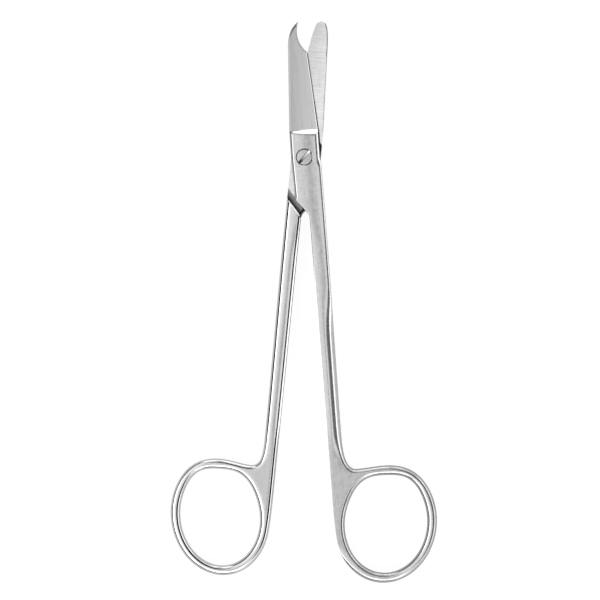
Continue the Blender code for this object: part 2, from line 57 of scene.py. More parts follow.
# The part's own sizes, in millimetres and degrees
PLATE_THICK = 2.2
PLATE_WIDTH = 7.4
JOINT_GAP = 0.1
PLATE_END = (-3.5, -10.5)
PLATE_END_LOW = (-1.22, -13.35)
CROTCH_DROP = 15.2
LAP_OUTER_DROP = 10.9
LAP_INNER_DROP = 14.4
LAP_FILLET = 1.7
END_HOLLOW = 1.8
SHOULDER_UP = 6.8
ROOT_BACK = (-3.62, SHOULDER_UP)
ROOT_EDGE = (3.78, SHOULDER_UP)
BLADE_BACK_THICK = 1.6
BLADE_EDGE_THICK = 0.8
BLADE_THINNING = 0.8
EDGE_LAND = 0.15
EDGE_BEVEL_WIDTH = 0.35
NOTCH_BEVEL_WIDTH = 0.3
BACK_CHAMFER = 0.5
SHANK_INNER_X = 0.25
SHANK_TOP_X = 3.7
SHANK_LOW_X = 3.33
SHANK_STRAIGHT_DROP = 21.0
SHANK_LOW_DROP = 71.0
INNER_END_DROP = 80.0
TAPER_START_DROP = 15.0
TAPER_END_DROP = 76.0
RING_HALF_THICK = 1.42
RING_WALL = 2.37
RING_ARC = (-12.0, 243.0)
RING_FLAT = 0.25
HOLE_FLAT = 0.55
FLAT_LEAN = 4.0
HEAD_RADIUS = 2.05
HEAD_DEEP = 1.1
HEAD_SINK = 0.04
NECK_RADIUS = 1.3
THREAD_RADIUS = 1.2
SCREW_CLEARANCE = 0.06
SLOT_WIDTH = 0.55
SLOT_DEEP = 0.6
SLOT_SAG = 0.36
SLOT_ANGLE = 48.4

# How the forging is dressed: roundings, crowned and hollow-ground faces
SATIN_STEP_DROP = 37.0
SIDE_BEVEL_WIDTH = 0.3
SIDE_BEVEL_LOW = 0.3
SIDE_BEVEL_DROP = 0.6
SIDE_BEVEL_END = (0.2, 1.2)  # below this drop it runs out, this much with each millimetre
SHANK_HALF = 1.85
SHANK_CROWN = 0.16
SHANK_CROWN_LIMIT = 1.7
PLATE_CROWN = 0.19
PLATE_CROWN_X = 0.4
PLATE_CROWN_LIMIT = 1.2
CROWN_CHANGE = (14.0, 12.0)  # drop where the plate's crown gives way, and over what length
CROWN_END = (64.0, 12.0)  # the same for the shank's crown
BLADE_HOLLOW = 0.05
CREST_BLEND = 0.35
BEVEL_OVERRUN = 4.0  # a blade's bevels go on straight for this long below the root,
BEVEL_RUN_OUT = 1.6  # and rise this much more with each millimetre there
EDGE_EASE = (0.06, 0.6)  # the cutting bevel's upper brink: width and slope
BACK_BEVEL_DEEP = 0.28
BACK_EASE = 0.22
BACK_EASE_SLOPE = 0.386
BACK_EASE_FULL = (24.0, 3.0)  # it gets its full width from this height up, over this length
MATING_HOLLOW = 0.06
MATING_HOLLOW_X = 3.2
MATING_HOLLOW_FULL = (5.0, 6.0)  # it starts at this height, and is full this much further up
LAP_OUTER_IN = 0.3  # the lap's outer end lies this far inside the shank's side
WALL_CHAMFER = 0.3
WALL_CHAMFER_SLOPE = 0.8
WALL_TOP_DROP = 9.0
BORE_CHAMFER = 0.07

# The shoulder is rougher and painted darker along its foot, more so to the left, and at its left end
SHOULDER_FOOT = (0.2, 0.06)  # right end of that stretch, and its height there
SHOULDER_FOOT_LEFT = -3.0
SHOULDER_DULL = 0.09  # it gets this much higher with each millimetre
SHOULDER_END_X = -2.35

# The blunt half's mating face is painted black below this line (x mirrored, y): a painted shadow of the
# gap
GAP_SHADE = [(2.9, -0.5), (2.92, 7.93), (3.03, 7.34), (3.5, 4.67), (3.63, 4.08), (4.19, 3.33),
             (4.7, 2.7)]
GAP_SHADE_SIDE = (0.09, -3.5)  # and left of the line x = the first times y plus the second

# The meshes
FINE_STEP = 0.3
RING_STEPS = 180
HOLE_STEPS = 220
GRID_STEP = 0.55
GRID_CLEAR = 0.2  # grid points keep this far from all lines
BORE_CLEAR = 0.1
CRISP = 0.003  # a step of the face lies between cuts this far to its sides
BEVEL_CRISP = 0.03
TOUCH = 0.001
RIM_CUTS = (0.03, 0.08, 0.15, 0.23, 0.32, 0.41, 0.5, 0.59, 0.68, 0.78, 0.89, 1.0)
CREST_CUTS = (-0.3, -0.2, -0.1, 0.0, 0.1)
SMOOTH_ANGLE = 32.0

# The numbers of a half's steels
(BODY, FINE_GROUND, BEVEL, MATING, FILLET, EDGE_BEVEL, BACK_BEVEL, COUNTERBORE, GAP_SHADOW,
 SHOULDER_END) = range(10)


# Rounded rims: (distance from the outline, slope of the face there), from the outline inwards

def rounded(reach, depth):
    """The slopes of a quarter round."""
    made = []
    for turn in (10.0, 20.0, 32.0, 45.0, 58.0, 72.0, 90.0):
        across = math.cos(math.radians(turn))
        made.append((reach * (1.0 - across), depth / reach * across / math.sin(math.radians(turn))))
    return [(0.0, made[0][1] * 1.2)] + made


RIMS = {
    "plate": rounded(0.32, 0.32),
    "satin_plate": rounded(0.8, 0.8),
    "satin_plate_side": [(0.0, 0.6), (0.3, 0.58), (0.52, 0.44), (0.8, 0.38), (0.95, 0.25),
                         (1.1, 0.07), (1.2, 0.0)],
    "satin_inner": rounded(0.22, 0.25),
    "satin_inner_low": [(0.0, 0.36), (0.06, 0.2), (0.15, 0.08), (0.3, 0.0)],
    "satin_outer": [(0.0, 1.3), (0.1, 1.0), (0.18, 0.66), (0.27, 0.42), (0.42, 0.27), (0.58, 0.1),
                    (0.75, 0.02), (0.9, 0.0)],
    "satin_outer_low": [(0.0, 1.05), (0.3, 0.95), (0.58, 0.86), (0.78, 0.76), (0.92, 0.6), (1.12, 0.38),
                        (1.4, 0.26), (1.8, 0.19), (2.1, 0.11), (2.35, 0.04), (2.6, 0.0)],
    "bright_inner": [(0.0, 3.0), (0.12, 1.25), (0.2, 0.72), (0.28, 0.45), (0.45, 0.36), (0.64, 0.31),
                     (0.77, 0.17), (0.92, 0.02), (1.0, 0.0)],
    "bright_outer": [(0.0, 2.0), (0.16, 1.3), (0.33, 0.9), (0.5, 0.68), (0.66, 0.46), (0.78, 0.3),
                     (0.92, 0.17), (1.1, 0.06), (1.3, 0.0)],
    "ring": [(0.0, 5.0), (0.06, 2.6), (0.16, 1.7), (0.32, 1.2), (0.45, 0.9), (0.58, 0.5), (0.7, 0.34),
             (0.98, 0.24), (1.1, 0.1), (1.18, 0.0)]}
RIM_NAMES = list(RIMS)
REACHES = np.array([RIMS[name][-1][0] for name in RIM_NAMES])
STEPS = np.linspace(0.0, REACHES.max(), 481)


def fall_curve(rim):
    """How far a rim falls from the face, at even distances from the outline."""
    slopes = np.interp(STEPS, *zip(*rim))
    pieces = (slopes[1:] + slopes[:-1]) / 2.0 * (STEPS[1] - STEPS[0])
    return np.append(np.cumsum(pieces[::-1])[::-1], 0.0)


FALLS = np.array([fall_curve(RIMS[name]) for name in RIM_NAMES])

# The satin shank's crown: slopes at distances to the right of its middle, and the fall they make
CROWN_SLOPES = [(0.0, 0.0), (0.25, 0.012), (0.45, 0.028), (0.82, 0.040), (0.94, 0.075), (1.05, 0.1),
                (1.4, 0.115), (2.4, 0.12)]
CROWN_PLACES = np.linspace(0.0, CROWN_SLOPES[-1][0], 97)
CROWN_FALLS = np.r_[0.0, np.cumsum(np.interp(
    (CROWN_PLACES[1:] + CROWN_PLACES[:-1]) / 2.0, *zip(*CROWN_SLOPES)) * np.diff(CROWN_PLACES))]
CROWN_FLAT = 0.45  # to the left the fall starts this far from the middle


# Drawing, as in the part's source

def lean_aim(degrees):
    turn = math.radians(degrees)
    return (math.sin(turn), math.cos(turn))


def ellipse_point(centre, long_half, cross_half, lean, turn):
    up = long_half * math.cos(math.radians(turn))
    side = cross_half * math.sin(math.radians(turn))
    aim = lean_aim(lean)
    return (centre[0] + up * aim[0] + side * aim[1], centre[1] + up * aim[1] - side * aim[0])


def ring_point(centre, long_half, cross_half, lean, flat, turn):
    off = math.radians(turn + lean - FLAT_LEAN)
    size = 1.0 - flat / long_half * math.cos(4.0 * off) * max(math.cos(off), 0.0) ** 2
    return ellipse_point(centre, long_half * size, cross_half * size, lean, turn)


def unit(start, end):
    """The direction from one point to another."""
    length = math.hypot(end[0] - start[0], end[1] - start[1])
    return ((end[0] - start[0]) / length, (end[1] - start[1]) / length)


def ring_aim(long_half, cross_half, lean, flat, turn):
    behind, ahead = (ring_point((0.0, 0.0), long_half, cross_half, lean, flat, turn + step)
                     for step in (-0.5, 0.5))
    return unit(behind, ahead)


def bend(start, start_aim, start_pull, end, end_aim, end_pull, steps):
    first = (start[0] + start_aim[0] * start_pull, start[1] + start_aim[1] * start_pull)
    second = (end[0] - end_aim[0] * end_pull, end[1] - end_aim[1] * end_pull)
    made = []
    for step in range(steps + 1):
        t = step / steps
        rest = 1.0 - t
        shares = (rest ** 3, 3.0 * rest * rest * t, 3.0 * rest * t * t, t ** 3)
        made.append(tuple(sum(s * c[i] for s, c in zip(shares, (start, first, second, end)))
                          for i in (0, 1)))
    return made


def arc_between(start, end, radius, steps):
    across = end[0] - start[0]
    along = end[1] - start[1]
    span = math.hypot(across, along)
    rise = math.sqrt(radius * radius - span * span / 4.0)
    centre = ((start[0] + end[0]) / 2.0 - along / span * rise,
              (start[1] + end[1]) / 2.0 + across / span * rise)
    first, last = (math.atan2(y - centre[1], x - centre[0]) for x, y in (start, end))
    sweep = (last - first + math.pi) % (2.0 * math.pi) - math.pi
    return [(centre[0] + radius * math.cos(first + sweep * step / steps),
             centre[1] + radius * math.sin(first + sweep * step / steps))
            for step in range(steps + 1)]


def handle(ring, long_half, cross_half, lean, web):
    """The outline from the plate's right side down, around the ring and up to its left side."""
    down, up, right = (0.0, -1.0), (0.0, 1.0), (1.0, 0.0)
    shape = (long_half, cross_half, lean, RING_FLAT)
    first, last = RING_ARC
    shank_low = (SHANK_LOW_X, -SHANK_LOW_DROP)
    side = bend((SHANK_TOP_X, -SHANK_STRAIGHT_DROP), down, 12.0, shank_low, down, 14.0, 40)
    corner = bend(shank_low, down, 4.6, web, right, 2.3, 30)
    bridge = bend(web, right, 2.6, ring_point(ring, *shape, first), ring_aim(*shape, first), 3.0, 20)
    loop = [ring_point(ring, *shape, first + (last - first) * step / RING_STEPS)
            for step in range(1, RING_STEPS + 1)]
    rise = bend(loop[-1], ring_aim(*shape, last), 3.5, (-SHANK_INNER_X, -INNER_END_DROP), up, 5.0, 20)
    turn = bend((-SHANK_INNER_X, -CROTCH_DROP), up, 0.9,
                PLATE_END_LOW, unit(PLATE_END_LOW, PLATE_END), 0.5, 14)
    return ([(PLATE_WIDTH / 2.0, 0.0)] + side + corner[1:] + bridge[1:] + loop + rise[1:] + turn
            + [PLATE_END, (-PLATE_WIDTH / 2.0, 0.0)])


# Rims that follow each other down a half: the upper and the lower one, the drop below the screw
# where the change between them starts, its length, and the drop where the ring's rim takes over
SATIN_PLATE_RIMS = ("satin_plate", "plate", 9.7, 1.0, SHANK_LOW_DROP)
SATIN_CROTCH_RIMS = ("plate", "satin_inner", CROTCH_DROP - 2.5, 3.0, SHANK_LOW_DROP)
SATIN_INNER_RIMS = ("satin_inner", "satin_inner_low", 22.0, 10.0, 103.0)
SATIN_SIDE_RIMS = ("satin_plate_side", "satin_outer", 0.5, 2.5, SHANK_LOW_DROP)
SATIN_OUTER_RIMS = ("satin_outer", "satin_outer_low", SATIN_STEP_DROP - 5.0, 14.0,
                    SHANK_LOW_DROP + 3.0)
BRIGHT_OUTER_RIMS = ("plate", "bright_outer", 8.5, 1.5, SHANK_LOW_DROP)
BRIGHT_INNER_RIMS = ("plate", "bright_inner", CROTCH_DROP - 1.5, 1.5, SHANK_LOW_DROP)
RING_CHANGE = (6.0, 10.0)  # the ring's rim starts this far above that drop, over this length
PLATE_RIM_DROP = 12.0
SHANK_RIM_DROP = 19.0
RING_RIM_DROP = 81.0  # below this the ring's half on that side belongs to the inner side too
INNER_SIDE_X = 1.5


def shares(rims, y):
    """The share of each rim at a height."""
    upper, lower, start, length, ring_drop = rims
    low = ease((-y - start) / length)
    fade = ease((-y - ring_drop + RING_CHANGE[0]) / RING_CHANGE[1])
    made = dict.fromkeys(RIM_NAMES, 0.0)
    made[upper] = (1.0 - low) * (1.0 - fade)
    made[lower] = low * (1.0 - fade)
    made["ring"] = fade
    return list(made.values())


def satin_rim(x, y):
    """The rims' shares at a point of the satin half's outline."""
    if x < INNER_SIDE_X or (y < -RING_RIM_DROP and x < HOOK_RING[0][0]):
        if y > -PLATE_RIM_DROP:
            return shares(SATIN_PLATE_RIMS, y)
        return shares(SATIN_CROTCH_RIMS if y > -SHANK_RIM_DROP else SATIN_INNER_RIMS, y)
    return shares(SATIN_SIDE_RIMS if y > -SHANK_RIM_DROP else SATIN_OUTER_RIMS, y)


def bright_rim(x, y):
    """The same for the bright half, whose rims are rounded from the lap down."""
    return shares(BRIGHT_OUTER_RIMS if x > 0.0 else BRIGHT_INNER_RIMS, y)


def ease(share):
    share = np.clip(share, 0.0, 1.0)
    return share * share * (3.0 - 2.0 * share)


def blended(first, second, width):
    """The lower of two heights, rounded off where they meet."""
    share = np.clip(0.5 + 0.5 * (second - first) / width, 0.0, 1.0)
    return second * (1.0 - share) + first * share - width * share * (1.0 - share)


def finer(line, step):
    """The line with its long stretches divided."""
    made = [line[0]]
    for start, end in zip(line, line[1:]):
        parts = max(1, math.ceil(math.hypot(end[0] - start[0], end[1] - start[1]) / step))
        for k in range(1, parts + 1):
            made.append(tuple(a + (b - a) * k / parts for a, b in zip(start, end)))
    return np.array(made)


def inside_normals(line, closed=False):
    """Mitred directions to the right of the way, into the metal of an outline drawn clockwise."""
    if closed:
        before = np.roll(line, 1, 0)
        after = np.roll(line, -1, 0)
    else:
        before = np.vstack([line[:1] * 2 - line[1:2], line[:-1]])
        after = np.vstack([line[1:], line[-1:] * 2 - line[-2:-1]])
    left, right = (np.c_[run[:, 1], -run[:, 0]] / np.linalg.norm(run, axis=1)[:, None]
                   for run in (line - before, after - line))
    dot = (left * right).sum(1)
    return (left + right) / np.maximum(1.0 + dot, 0.6)[:, None]


def nearest(points, line):
    """Distance from each point to a line, and the place of the nearest spot along its points."""
    start = line[:-1]
    run = line[1:] - start
    square = (run * run).sum(1)
    distance, place = np.empty((2, len(points)))
    chunk = 1500
    for low in range(0, len(points), chunk):
        part = points[low:low + chunk]
        offset = part[:, None, :] - start[None]
        share = np.clip((offset * run[None]).sum(2) / square[None], 0.0, 1.0)
        gap = offset - run[None] * share[:, :, None]
        far = (gap * gap).sum(2)
        best = far.argmin(1)
        rows = np.arange(len(part))
        distance[low:low + chunk] = np.sqrt(far[rows, best])
        place[low:low + chunk] = best + share[rows, best]
    return distance, place


def within(points, loop):
    """Which points lie inside a closed loop."""
    x, y = points[:, 0], points[:, 1]
    inside = np.zeros(len(points), bool)
    ends = np.roll(loop, -1, 0)
    for (x0, y0), (x1, y1) in zip(loop, ends):
        if y0 == y1:
            continue
        crosses = (y0 > y) != (y1 > y)
        inside ^= crosses & (x < (x1 - x0) * (y - y0) / (y1 - y0) + x0)
    return inside


def left_of(guide, points):
    """Distance of each point to the left of a guide line."""
    start, _, aside, _ = guide
    return (points - start) @ aside


def beside(guide, stretch, place):
    """Points along a guide line, moved to its left."""
    start, run, aside, _ = guide
    return start + stretch[:, None] * run + aside * place


class Half:
    """One half in its own frame: outline, creases and the heights of both its faces."""

    def __init__(self, name, shift, back, notch, edge, ring, hole, web, rim, bore, head):
        self.name, self.shift, self.bore, self.head = name, shift, bore, head
        move = np.array([shift, 0.0])
        self.back = finer([ROOT_BACK] + back, FINE_STEP) + move
        self.notch = finer(notch, FINE_STEP) + move if notch else None
        self.edge = finer(edge + [ROOT_EDGE], FINE_STEP) + move
        body = finer([ROOT_EDGE] + handle(*ring, web) + [ROOT_BACK], FINE_STEP)
        self.rim = np.array([rim(*p) for p in body])
        self.body = body + move
        loop = [ring_point(*hole, HOLE_FLAT, 360.0 * k / HOLE_STEPS) for k in range(HOLE_STEPS)]
        self.hole = np.array(loop + loop[:1]) + move
        self.outline = np.vstack([line[:-1] for line in (self.back, self.notch, self.edge, self.body)
                                  if line is not None])
        self.lap = self.guide((SHANK_INNER_X, -LAP_INNER_DROP),
                              (SHANK_TOP_X - LAP_OUTER_IN, -LAP_OUTER_DROP))
        self.side = self.guide((PLATE_WIDTH / 2.0, 0.0), ROOT_EDGE)
        self.end = self.guide(PLATE_END, PLATE_END_LOW)

    def guide(self, start, end):
        """A straight line as its start, direction, direction to the left and length."""
        start = np.array(start) + (self.shift, 0.0)
        run = np.array(end) + (self.shift, 0.0) - start
        length = np.linalg.norm(run)
        run = run / length
        return start, run, np.array([-run[1], run[0]]), length

    def ground(self, x, y):
        """Outer face of the blade: leaning, thinning to the tip and slightly hollow."""
        width = ROOT_EDGE[0] - ROOT_BACK[0]
        middle = (ROOT_EDGE[0] + ROOT_BACK[0]) / 2.0 + self.shift
        lean = math.atan2(BLADE_BACK_THICK - BLADE_EDGE_THICK, width)
        drop = math.tan(math.radians(BLADE_THINNING)) / math.cos(lean)
        height = (BLADE_BACK_THICK + BLADE_EDGE_THICK) / 2.0
        across = np.clip((x - middle) / (width / 2.0), -1.0, 1.0)
        hollow = BLADE_HOLLOW * (1.0 - across ** 2)
        return height - math.tan(lean) * (x - middle) - drop * (y - SHOULDER_UP) - hollow

    def shoulder(self, x, y):
        """The slope from the root of the blade up to the plate."""
        return self.ground(x, np.full_like(x, SHOULDER_UP)) + (SHOULDER_UP - y)

    def thickness(self, y):
        share = np.clip((-y - TAPER_START_DROP) / (TAPER_END_DROP - TAPER_START_DROP), 0.0, 1.0)
        return PLATE_THICK + (RING_HALF_THICK - PLATE_THICK) * (1.0 - (1.0 - share) ** 2)

    def crown(self, x, y):
        """How far the plate's and the shank's face falls from its middle."""
        low = ease((-y - CROWN_CHANGE[0]) / CROWN_CHANGE[1])
        fade = 1.0 - ease((-y - CROWN_END[0]) / CROWN_END[1])
        aside = x - ((SHANK_TOP_X - SHANK_INNER_X) / 2.0 + self.shift)
        left = np.minimum(aside + CROWN_FLAT, 0.0) if self.head else aside
        shank = np.minimum((left / SHANK_HALF) ** 2, SHANK_CROWN_LIMIT) * SHANK_CROWN
        if self.head:
            shank = np.where(aside > 0.0, np.interp(aside, CROWN_PLACES, CROWN_FALLS), shank)
        shank *= low * fade
        across = (x - PLATE_CROWN_X) / (PLATE_WIDTH / 2.0)
        plate = np.clip(across, -PLATE_CROWN_LIMIT, PLATE_CROWN_LIMIT) ** 2 * PLATE_CROWN
        return shank + plate * (1.0 - low)

    def rounding(self, points):
        """How far the rounded rims fall from the face."""
        fall = np.zeros(len(points))
        turn = int(self.body[:, 1].argmin())
        ring = np.zeros((len(self.hole), len(RIM_NAMES)))
        ring[:, RIM_NAMES.index("ring")] = 1.0
        for line, rim in ((self.body[:turn + 1], self.rim[:turn + 1]),
                          (self.body[turn:], self.rim[turn:]), (self.hole, ring)):
            distance, place = nearest(points, line)
            spot = np.floor(place).astype(int).clip(0, len(line) - 2)
            share = (place - spot)[:, None]
            mixed = rim[spot] * (1.0 - share) + rim[spot + 1] * share
            falls = np.array([np.interp(distance, STEPS, curve) for curve in FALLS])
            fall = np.maximum(fall, (mixed * falls.T).sum(1))
        return fall

    def bevel(self, points, line, width, low, face):
        """A ground bevel along a line: from the low height at the line up to the face."""
        straight = line.copy()
        if abs(line[0][1] - SHOULDER_UP) < TOUCH:
            straight = np.vstack([[line[0][0], line[0][1] - BEVEL_OVERRUN], line])
        if abs(line[-1][1] - SHOULDER_UP) < TOUCH:
            straight = np.vstack([line, [line[-1][0], line[-1][1] - BEVEL_OVERRUN]])
        distance, _ = nearest(points, straight)
        made = low + (face - low) * distance / width
        if line is self.edge:
            made = np.minimum(made, face - EDGE_EASE[1] * (width + EDGE_EASE[0] - distance))
        return made + BEVEL_RUN_OUT * np.maximum(SHOULDER_UP - points[:, 1], 0.0)

    def top(self, points):
        x, y = points[:, 0], points[:, 1]
        ground = self.ground(x, y)
        flat = self.thickness(y) - self.crown(x, y) - self.rounding(points)
        height = np.where(y >= SHOULDER_UP, ground, blended(flat, self.shoulder(x, y), CREST_BLEND))
        low = JOINT_GAP / 2.0 + EDGE_LAND
        blade = y > SHOULDER_UP - 2.5
        part = points[blade]
        face = np.minimum(ground[blade], 2.0)
        made = np.minimum(self.bevel(part, self.back, BACK_CHAMFER, face - BACK_BEVEL_DEEP, face),
                          self.bevel(part, self.edge, EDGE_BEVEL_WIDTH, low, face))
        if self.notch is not None:
            made = np.minimum(made, self.bevel(part, self.notch, NOTCH_BEVEL_WIDTH, low, face))
        height[blade] = np.minimum(height[blade], made)
        if self.head:
            steep = (PLATE_THICK - SIDE_BEVEL_DROP - SIDE_BEVEL_LOW) / SIDE_BEVEL_WIDTH
            run_out = SIDE_BEVEL_END[1] * np.maximum(-y - SIDE_BEVEL_END[0], 0.0)
            side = SIDE_BEVEL_LOW + steep * left_of(self.side, points) + run_out
            height = np.where(y < SHOULDER_UP, np.minimum(height, side), height)
            radius = np.hypot(x, y)
            seat = PLATE_THICK - HEAD_DEEP - SCREW_CLEARANCE
            wall = HEAD_RADIUS + SCREW_CLEARANCE
            brink = PLATE_THICK + radius - wall - BORE_CHAMFER
            height = np.where(radius < wall, seat, np.minimum(height, brink))
        return height

    def bottom(self, points):
        x, y = points[:, 0], points[:, 1]
        base = JOINT_GAP / 2.0
        ahead = left_of(self.lap, points)
        reach = np.clip(1.0 - ahead / LAP_FILLET, 0.0, 1.0)
        lap = base - LAP_FILLET * (1.0 - np.sqrt(1.0 - reach ** 2))
        near_end = np.clip(1.0 - left_of(self.end, points) / END_HOLLOW, 0.0, 1.0)
        end = base + END_HOLLOW * (1.0 - np.sqrt(1.0 - near_end ** 2))
        end = np.where(y < 0.0, end, base)
        middle = 1.0 - np.clip(x / MATING_HOLLOW_X, -1.0, 1.0) ** 2
        hollow = MATING_HOLLOW * ease((y - MATING_HOLLOW_FULL[0]) / MATING_HOLLOW_FULL[1]) * middle
        mating = np.maximum(lap, end) + hollow
        if self.notch is None:
            distance, _ = nearest(points, self.back)
            width = BACK_EASE * (0.5 + 0.5 * ease((y - BACK_EASE_FULL[0]) / BACK_EASE_FULL[1]))
            mating = mating + np.maximum(width - distance, 0.0) * BACK_EASE_SLOPE * (y > 0.0)
        brink = np.clip(WALL_CHAMFER + ahead, 0.0, WALL_CHAMFER) * WALL_CHAMFER_SLOPE
        flat = self.rounding(points) + self.crown(x, y) - self.thickness(y)
        shank = flat + brink * (y < -WALL_TOP_DROP)
        return np.where(ahead > 0.0, np.maximum(mating, flat), shank)

    def lines(self):
        """Lines that the faces are cut along: (points, closed, sharp on top, sharp below)."""
        made = []

        def add(line, closed=False, top=False, below=False):
            made.append((line, closed, top, below))

        def inset(line, width, **sharp):
            add(line + inside_normals(line) * width, **sharp)

        hole = self.hole[:-1]
        add(self.outline, True)
        add(hole, True)
        normals = inside_normals(self.body)
        hole_normals = -inside_normals(hole, True)
        reach = (self.rim @ REACHES)[:, None]
        for share in RIM_CUTS:
            add(self.body + normals * reach * share)
            add(hole + hole_normals * RIMS["ring"][-1][0] * share, True)
        inset(self.back, BACK_CHAMFER, top=True)
        inset(self.edge, EDGE_BEVEL_WIDTH - BEVEL_CRISP, top=True)
        inset(self.edge, EDGE_BEVEL_WIDTH + EDGE_EASE[0], top=True)
        if self.notch is not None:
            inset(self.notch, NOTCH_BEVEL_WIDTH, top=True)
        else:
            inset(self.back, BACK_EASE / 2.0, below=True)
            inset(self.back, BACK_EASE, below=True)
            add(np.array([(-x, y) for x, y in GAP_SHADE[1:]]))
        across = np.linspace(-4.4, 4.4, 30)
        root = np.full_like(across, SHOULDER_UP)
        crest = PLATE_THICK - self.crown(across, root)
        upper = np.c_[across, SHOULDER_UP - (crest - self.ground(across, root))]
        add(np.c_[across, root], top=True)
        if self.head:
            right, high = SHOULDER_FOOT
            left_high = SHOULDER_UP - high - SHOULDER_DULL * (right - SHOULDER_FOOT_LEFT)
            add(np.array([(SHOULDER_FOOT_LEFT, left_high), (right, SHOULDER_UP - high)]))
            add(np.array([(SHOULDER_END_X, SHOULDER_UP), (SHOULDER_END_X, SHOULDER_UP - 0.8)]))
        for place in CREST_CUTS:
            add(upper + (0.0, place))
        stretch = np.linspace(-4.0, 7.0, 34)
        for place in (-WALL_CHAMFER, -CRISP, CRISP):
            add(beside(self.lap, stretch, place), below=True)
        for angle in range(12, 91, 13):
            add(beside(self.lap, stretch, LAP_FILLET * (1.0 - math.cos(math.radians(angle)))))
        stretch = np.linspace(-2.0, 5.4, 24)
        for angle in range(0, 90, 15):
            add(beside(self.end, stretch, END_HOLLOW * (1.0 - math.sin(math.radians(angle)))))
        radii = [(self.bore, False)]
        if self.head:
            stretch = np.linspace(-1.6, self.side[-1] + 0.2, 30)
            add(beside(self.side, stretch, SIDE_BEVEL_WIDTH), top=True)
            wall = HEAD_RADIUS + SCREW_CLEARANCE
            radii += [(wall - CRISP, True), (wall + CRISP, True), (wall + BORE_CHAMFER, True)]
        turns = np.linspace(0.0, 2.0 * math.pi, 72, endpoint=False)
        for radius, sharp in radii:
            add(radius * np.c_[np.cos(turns), np.sin(turns)], True, sharp)
        return made

    def holds(self, points):
        """Which points lie in the metal, the screw's bore aside."""
        return within(points, self.outline) & ~within(points, self.hole[:-1])

    def grid(self, lines):
        """Points in the middle of the faces, clear of all lines."""
        low, high = self.outline.min(0), self.outline.max(0)
        rows = []
        for k, y in enumerate(np.arange(low[1], high[1], GRID_STEP * 0.866)):
            x = np.arange(low[0] + (k % 2) * GRID_STEP / 2.0, high[0], GRID_STEP)
            rows.append(np.c_[x, np.full_like(x, y)])
        points = np.vstack(rows)
        points = points[self.holds(points)]
        cloud = np.vstack([line for line, *_ in lines])
        tree = KDTree(len(cloud))
        for index, (x, y) in enumerate(cloud):
            tree.insert((x, y, 0.0), index)
        tree.balance()
        keep = [tree.find((x, y, 0.0))[2] > GRID_CLEAR and math.hypot(x, y) > self.bore + BORE_CLEAR
                for x, y in points]
        return points[keep]

    def mesh(self):
        """The closed mesh: both faces over one triangulation, and the walls between them."""
        coords = []
        edges = []
        marks = []
        lines = self.lines()
        for line, closed, sharp_top, sharp_below in lines:
            first = len(coords)
            coords.extend(map(tuple, line))
            last = len(coords) - 1
            edges += [(k, k + 1) for k in range(first, last)] + [(last, first)] * closed
            marks += [(sharp_top, sharp_below)] * (last - first + closed)
        coords.extend(map(tuple, self.grid(lines)))
        made = delaunay_2d_cdt([Vector(c) for c in coords], edges, [], 0, 1e-4, True)
        points = np.array([tuple(v) for v in made[0]])
        faces = np.array(list(made[2]))
        middles = points[faces].mean(1)
        keep = self.holds(middles) & (np.hypot(middles[:, 0], middles[:, 1]) > self.bore)
        faces = faces[keep]
        middles = middles[keep]
        first, second, third = (points[faces[:, k]] for k in range(3))
        cross = np.cross(second - first, third - first)
        faces[cross < 0.0] = faces[cross < 0.0][:, ::-1]
        used = np.unique(faces)
        order = np.full(len(points), -1)
        order[used] = np.arange(len(used))
        faces = order[faces]
        kept = points[used]
        count = len(kept)
        corners = np.vstack([np.c_[kept, self.top(kept)], np.c_[kept, self.bottom(kept)]]) * MM
        directed = {(face[k], face[(k + 1) % 3]): True for face in faces for k in range(3)}
        walls = [(a, b) for a, b in directed if (b, a) not in directed]
        polygons = [tuple(f) for f in faces]
        polygons += [tuple(count + f[::-1]) for f in faces]
        polygons += [(a, a + count, b + count, b) for a, b in walls]
        mesh = bpy.data.meshes.new(self.name)
        mesh.from_pydata(corners.tolist(), [], polygons)
        mesh.update()
        ahead = mesh.attributes.new("lap_ahead", "FLOAT", "POINT")
        ahead.data.foreach_set("value", np.tile(left_of(self.lap, kept), 2).astype(np.float32))
        sharp = set()
        for (a, b), origins in zip(made[1], made[4]):
            a, b = order[a], order[b]
            if a < 0 or b < 0:
                continue
            for side in (0, 1):
                if any(marks[k][side] for k in origins if k < len(marks)):
                    sharp.add((min(a, b) + side * count, max(a, b) + side * count))
        sharpen(mesh, sharp)
        self.middles = middles
        self.wall_middles = np.array([(kept[a] + kept[b]) / 2.0 for a, b in walls])
        return mesh

